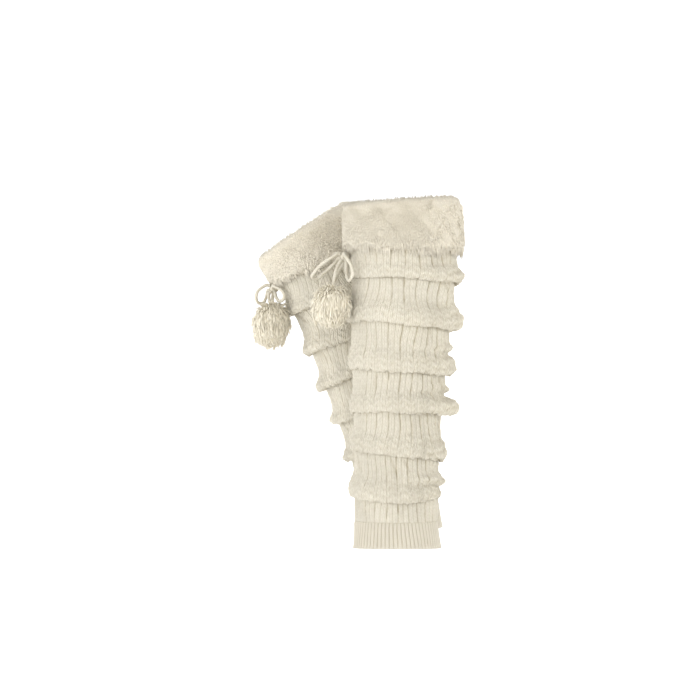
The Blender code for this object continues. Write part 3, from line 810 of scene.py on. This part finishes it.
# Short creases in the cloth: each from an angle and level to another, with its depth and width
shortCreases = {
    "left": [
        (313, 321, 352, 334, 1.8, 3.0), (338, 274, 344, 301, 1.6, 2.6), (261, 325, 269, 347, 1.2, 2.0),
        (278, 327, 288, 343, 1.2, 2.0), (280, 381, 276, 402, 0.8, 1.8), (345, 164, 351, 187, 1.8, 2.8),
        (322, 104, 334, 122, 1.3, 2.4), (330, 222, 337, 243, 1.5, 2.6), (304, 160, 309, 178, 1.0, 2.0),
        (240, 221, 236, 238, 0.9, 2.0), (12, 170, 20, 192, 1.7, 2.8), (30, 226, 22, 248, 1.5, 2.6),
        (48, 276, 58, 302, 1.4, 2.4), (75, 332, 66, 352, 1.5, 2.4), (110, 160, 118, 180, 1.2, 2.2),
        (130, 384, 124, 402, 1.2, 2.2), (165, 272, 158, 292, 1.1, 2.2), (200, 322, 209, 340, 1.2, 2.2),
    ],
    "right": [
        (200, 99, 214, 116, 1.7, 3.0), (236, 100, 228, 122, 1.4, 2.4), (262, 161, 276, 182, 1.8, 2.8),
        (215, 158, 222, 176, 1.4, 2.4), (294, 104, 303, 126, 1.3, 2.4), (190, 212, 199, 230, 1.5, 2.6),
        (246, 214, 238, 236, 1.3, 2.2), (228, 262, 240, 284, 1.5, 2.6), (205, 312, 214, 330, 1.4, 2.4),
        (330, 208, 338, 230, 1.6, 2.6), (350, 264, 357, 288, 1.7, 2.8), (15, 160, 24, 182, 1.6, 2.6),
        (40, 312, 33, 334, 1.4, 2.4), (95, 210, 104, 232, 1.2, 2.2), (140, 262, 134, 282, 1.2, 2.2),
    ],
}


def handCreases(side, angle, level):
    # each is a trough with a bell across its line and soft ends along it
    depth = np.zeros(angle.shape)
    for startTurn, startLevel, endTurn, endLevel, deep, wide in shortCreases[side]:
        around = nearTurn(np.degrees(angle) - startTurn, 360)
        sweep = nearTurn(endTurn - startTurn, 360)
        share = np.clip((level - startLevel) / (endLevel - startLevel), -0.3, 1.3)
        away = around - sweep * share
        soft = np.clip((share + 0.15) / 0.3, 0, 1) * np.clip((1.15 - share) / 0.45, 0, 1)
        depth += deep * soft * np.exp(-(away / wide) ** 2)
    return depth


def knitPiece(side):
    # the rolls' sections joined smoothly, then raised along the surface's normals by cables, gathers and
    # lumps
    tube = tubes[side]
    columns = knitLook["cables"] * knitLook["perCable"]
    angle = evenTurns(columns)
    levels, outs, depths, shares = rollRows(side, angle, rollLine[side], True)
    spots = evenSpots(levels, outs, knitLook["rowStep"])
    level = smoothRows(levels, spots)
    pocket = np.maximum(smoothRows(depths, spots), 0)
    turn = np.broadcast_to(angle, level.shape)
    out = dented(side, turn, level, smoothRows(outs, spots))
    base = onTube(tube, turn, level, out)
    normal = outwardNormals(base)
    steps = np.linalg.norm(np.diff(base, axis=0), axis=-1) / mm
    run = np.concatenate([np.zeros((1, columns)), np.cumsum(steps, axis=0)])
    plump = np.clip(smoothRows(shares, spots), 0, 1)
    relief, place, hollowShade = cableRelief(side, turn, level, run, plump)
    back = 0.5 + 0.5 * np.cos(turn - 0.3)
    seed = seeds[side]["cloth"]
    gathers = softWaves(seed, turn, level, (5, 13), (40, 120), 12) * knitLook["gather"] * (0.45 + 0.8 * back)
    lumps = softWaves(seed + 1, turn, run, (12, 40), (9, 26), 16) * knitLook["lump"][side]
    lumps = lumps + softWaves(seed + 5, turn, run, (50, 120), (7, 14), 18) * knitLook["grain"]
    ease = np.clip(np.minimum(0.6 + run / 12, (run[-1] - run) / 8), 0, 1)
    aside = nearTurn(turn, 2 * math.pi)
    pleats = np.sin(level / 2.1 + 4.0 * aside + 1.6 * softWaves(seed + 2, turn, level, (1, 4), (40, 90)))
    pleats = pleats * knitLook["pleat"] * np.exp(-((np.abs(aside) - 0.2) / 0.75) ** 2)
    pleats = pleats * np.clip(out / 4, 0, 1)
    creases = handCreases(side, turn, level)
    shift = relief * (0.15 + 0.85 * ease) + (gathers + lumps + pleats) * ease - pocket - creases
    outer = base + mm * np.maximum(shift, -knitLook["deepest"])[..., None] * normal
    innerAngle = evenTurns(knitLook["innerColumns"])
    innerLevels, innerOuts = rollRows(side, innerAngle, innerLine, False)[:2]
    innerSpots = np.linspace(0, len(innerLevels) - 1, knitLook["innerRows"])
    inner = onTube(tube, innerAngle[None, :], smoothRows(innerLevels, innerSpots),
                   0.6 * smoothRows(innerOuts, innerSpots) - wall)
    closedPlace = np.concatenate([place, place[:, :1] + knitLook["cables"]], axis=1)
    closedRun = np.concatenate([run, run[:, :1]], axis=1)
    uv = (closedPlace * knitLook["stitchesPerCable"], closedRun / knitLook["stitchRow"])
    # painted shade: stronger at the back, and deeper in the pockets, the short creases and the pleats'
    # troughs
    hollowShade = hollowShade * (0.6 + 0.55 * back) + 0.6 * np.clip(pocket, 0, 1.2) + 0.25 * creases
    hollowShade = np.clip(hollowShade + 0.25 * np.clip(-pleats, 0, 1), 0, 1)
    print(f"{side} knit: {outer.shape[0]} rows, cloth {run[-1].mean():.0f} mm long")
    return wallPiece(f"{side}Knit", outer, inner, uv, finishes["Knit"], hollowShade), float(run[-1].mean()) * mm


hemLook = {"ribs": 66, "perRib": 8, "rowStep": 1.5, "rise": 0.75, "edge": 0.8, "innerRows": 6}


def hemPiece(side):
    # close ribs: a rounded ridge for each, and a slightly thicker cast-off edge along the foot
    tube = tubes[side]
    ribs = hemLook["ribs"]
    columns = ribs * hemLook["perRib"]
    angle = evenTurns(columns)[None, :]
    foot = roundTube(tube["hemFoot"], angle)
    rows = round((foot.mean() - tube["hemTop"]) / hemLook["rowStep"]) + 1
    share = np.linspace(0, 1, rows)[:, None]
    level = tube["hemTop"] + share * (foot - tube["hemTop"])
    drift = 0.35 * softWaves(seeds[side]["hem"], angle, level, (2, 5), (60, 120))
    rib = np.abs(np.cos(math.pi * (ribs * angle / (2 * math.pi) + drift)))
    edge = np.exp(-((1 - share) * rows / 2.2) ** 2)
    wave = 0.5 * softWaves(17, angle, level, (2, 7), (30, 80))
    start = np.clip(share * rows * hemLook["rowStep"] / 4, 0.35, 1)
    out = hemLook["rise"] * (2 * rib ** 0.7 - 1) * (1 - 0.35 * edge) * start + hemLook["edge"] * edge
    out = out + wave * start - 0.6 * (1 - start)
    outer = onTube(tube, angle, level, out)
    inner = innerWall(tube, hemLook["innerRows"], ribs, (tube["hemTop"],) * 4, tube["hemFoot"], -wall)
    u = np.linspace(0, ribs, columns + 1)[None, :] + 0.5 + np.concatenate([drift, drift[:, :1]], axis=1)
    v = np.broadcast_to(share * rows * hemLook["rowStep"] / 2.6, u.shape)
    # painted shade between the ribs, less on the cast-off edge
    hollowShade = np.clip((1 - rib) ** 1.5 * 0.9, 0, 1) * (1 - 0.6 * edge)
    return wallPiece(f"{side}Hem", outer, inner, (u, v), finishes["Rib"], hollowShade)


# Fur cuffs. The pile has its depth on the four sides, and its outline from the cuff's top to its foot, as
# shares down it and out through the pile.
cuffLook = {
    "pile": (14.4, 13.8, 13.1, 13.8), "backing": 3.0, "locks": 16500, "tuft": 6.0, "thick": 0.78,
    "girth": 470.0, "tall": 66.0, "pull": 0.22, "lump": 0.7, "over": 7.5, "hang": 6.5,
    # per side: the far, right cuff is painted paler, painted light where the near cuff shades it
    "toneAndPaintedLight": {"left": 0.08, "right": 1.0},
    "comb": 4.0, "fall": 3.4, "base": 0.9, "rows": 22, "columns": 192, "innerRows": 8, "innerColumns": 64,
    "down": [0.0, 0.045, 0.16, 0.42, 0.68, 0.9, 0.985], "out": [0.38, 0.76, 0.97, 1.0, 0.98, 0.94, 0.62],
}


def furBacking(side):
    # the cloth that holds the pile: the pile's outline drawn in to nine tenths of its depth
    tube = tubes[side]
    rows, columns = cuffLook["rows"], cuffLook["columns"]
    angle = evenTurns(columns)[None, :]
    top = roundTube(tube["cuffTop"], angle)
    foot = roundTube(tube["cuffFoot"], angle)
    share = np.linspace(0, 0.985, rows)[:, None]
    reach = np.interp(share, cuffLook["down"], cuffLook["out"]) * roundTube(cuffLook["pile"], angle)
    level = top + 1.5 + share * (foot - top - 2.0)
    lumps = 0.5 * softWaves(23, angle, level, (6, 20), (14, 40), 10)
    outer = onTube(tube, angle, level, reach * cuffLook["base"] + lumps - cuffLook["backing"])
    inner = innerWall(tube, cuffLook["innerRows"], cuffLook["innerColumns"],
                      tube["cuffTop"], tube["cuffFoot"], -cuffLook["backing"], (0.03, 0.97))
    uv = (np.linspace(0, 150, columns + 1)[None, :], np.broadcast_to(share * 25, (rows, columns + 1)))
    # the backing painted a little in shade all over
    hollowShade = np.full((rows, columns), 0.2)
    return wallPiece(f"{side}FurBacking", outer, inner, uv, finishes["Backing"], hollowShade)


def furPile(side):
    # tapered locks from inside the backing to the pile's outline, their tips drawn together in tufts and
    # combed downwards
    tube = tubes[side]
    pick = np.random.default_rng(seeds[side]["fur"])
    count = cuffLook["locks"]
    girth, tall = cuffLook["girth"], cuffLook["tall"]
    turn = pick.random(count) * 2 * math.pi
    down = ((np.arange(count) + pick.random(count)) / count) ** 1.12
    tufts = int(girth * tall / cuffLook["tuft"] ** 2)
    tuftTurn = pick.random(tufts) * 2 * math.pi
    tuftDown = (np.arange(tufts) + 0.5) / tufts
    across = nearTurn(turn[:, None] - tuftTurn[None, :], 2 * math.pi)
    apart = np.hypot(across * girth / (2 * math.pi), (down[:, None] - tuftDown[None, :]) * tall)
    nearest = apart.argmin(axis=1)
    curly = np.clip((np.cos(turn) - 0.25) / 0.35, 0, 1)
    pull = (0.04 + cuffLook["pull"] * curly) * pick.uniform(0.5, 1.4, tufts)[nearest]
    tuftSize = 1 + (0.02 + 0.08 * curly) * pick.uniform(-1, 1, tufts)[nearest]
    own = np.arange(count)
    comb = cuffLook["comb"] * (0.1 + 0.6 * curly) * softWaves(7, turn, down * tall, (3, 12), (25, 60), 12)
    flow = softWaves(8, turn, down * tall, (3, 12), (25, 60), 12)
    fall = cuffLook["fall"] * (1 + (0.12 + 0.6 * curly) * flow)
    tipTurn = turn - pull * across[own, nearest] + comb / 75
    tipDown = down + pull * (tuftDown[nearest] - down)
    top = roundTube(tube["cuffTop"], turn)
    foot = roundTube(tube["cuffFoot"], turn)
    pile = roundTube(cuffLook["pile"], turn)
    lumps = cuffLook["lump"] * (1 + 1.1 * curly)
    lumps = lumps * softWaves(9, tipTurn, tipDown * tall, (4, 14), (18, 50), 12)
    share = np.interp(tipDown, cuffLook["down"], cuffLook["out"])
    tipOut = (share * pile + lumps) * tuftSize * pick.uniform(0.93, 1.02, count) - cuffLook["backing"]
    ragged = pick.uniform(-0.6, 1.6, tufts)[nearest] * pick.uniform(0.6, 1.2, count)
    low = np.clip((down - 0.8) / 0.2, 0, 1)
    hang = cuffLook["hang"] * ragged * low + fall * pick.uniform(0.6, 1.2, count)
    tipOut = tipOut + 3.2 * low ** 2 * np.clip(ragged - 0.4, -0.3, 1)
    patches = 0.22 * softWaves(12, turn, down * tall, (4, 14), (18, 50), 12)
    # each strand's paleness: random tone and soft patches, paler at the curly back, and painted light on the
    # fringe at the foot and all over the far cuff
    toneAndPaintedLight = cuffLook["toneAndPaintedLight"][side] + 0.3 * pick.random(count) + 0.7 * curly + 0.7 * low + patches
    hang = hang - 6.0 * np.clip((0.12 - down) / 0.12, 0, 1)
    tipOut = tipOut - cuffLook["over"] * np.clip((0.07 - down) / 0.07, 0, 1) * pick.uniform(0.3, 1.1, count)
    tipLevel = top + tipDown * (foot - top) + hang
    rootShare = np.interp(down, cuffLook["down"], cuffLook["out"])
    rootOut = (cuffLook["base"] - 0.08) * rootShare * pile - cuffLook["backing"]
    rootLevel = top + 1.5 + (0.02 + 0.95 * down) * (foot - top - 2.0)
    root = onTube(tube, turn, rootLevel, rootOut)
    tip = onTube(tube, tipTurn, tipLevel, tipOut)
    elbowTurn, elbowLevel = turn * 0.6 + tipTurn * 0.4, 0.75 * rootLevel + 0.25 * tipLevel
    elbow = onTube(tube, elbowTurn, elbowLevel, 0.3 * rootOut + 0.7 * tipOut)
    lines = np.stack([root, elbow, tip], axis=1)
    thick = cuffLook["thick"] * np.array([1.0, 0.85, 0.0]) * pick.uniform(0.75, 1.3, (count, 1))
    return strandsPiece(f"{side}FurPile", lines, thick * mm, np.clip(toneAndPaintedLight, 0, 1), finishes["Fur"])


for side in ("left", "right"):
    knit, clothLength = knitPiece(side)
    hem = hemPiece(side)
    backing = furBacking(side)
    pile = furPile(side)
    for piece, node, slot in (
        (knit, "knit_tube", "cream_knit"), (hem, "rib_hem", "cream_knit"),
        (backing, "fur_cuff", "cream_fur"), (pile, "fur_cuff", "cream_fur"),
    ):
        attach(piece, "root")
        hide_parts(f"{node}_{side}")
    print(f"{side} warmer dressed")


def addLight(name, place, power):
    # a square soft box at a place, turned to the stage's aim
    lamp = bpy.data.lights.new(name, "AREA")
    lamp.shape = "SQUARE"
    lamp.size = stage["lightSize"]
    lamp.energy = power
    box = bpy.data.objects.new(name, lamp)
    box.location = place
    ray = np.array(stage["aim"], float) - np.array(place, float)
    box.rotation_mode = "QUATERNION"
    box.rotation_quaternion = Vector(ray.tolist()).to_track_quat("-Z", "Y")
    bpy.context.scene.collection.objects.link(box)


def makeStage():
    # a round floor whose edge bends up into a wall all round: a flat disc, a quarter circle carried round and
    # a cylinder, with an even room light and four soft boxes
    bend = np.linspace(0, math.pi / 2, 25)
    reach = np.append(stage["flat"] + stage["bend"] * np.sin(bend), stage["flat"] + stage["bend"])
    rise = np.append(stage["bend"] * (1 - np.cos(bend)), stage["top"]) + stage["floor"]
    turn = evenTurns(stage["sides"])
    points = np.stack(np.broadcast_arrays(
        reach[:, None] * np.cos(turn), reach[:, None] * np.sin(turn), rise[:, None]), axis=-1).reshape(-1, 3)
    quads = gridFaces(len(reach), stage["sides"])
    disc = np.arange(stage["sides"])[None, :]
    uvSets = [np.zeros((*faces.shape, 2)) for faces in (quads, disc)]
    finish = floorMaterial("paleFloor", stage["tone"], stage["gloss"], stage["glow"])
    meshPiece("backdrop", points, [quads, disc], uvSets, finish)
    world = bpy.data.worlds.new("softRoom")
    world.use_nodes = True
    room = world.node_tree.nodes["Background"].inputs
    room["Color"].default_value = (1.0, 1.0, 1.0, 1.0)
    room["Strength"].default_value = stage["room"]
    bpy.context.scene.world = world
    bpy.context.scene.view_settings.view_transform = "Standard"
    for name, (place, power) in stageLights.items():
        addLight(name, place, power)


makeStage()
print("stage lit")
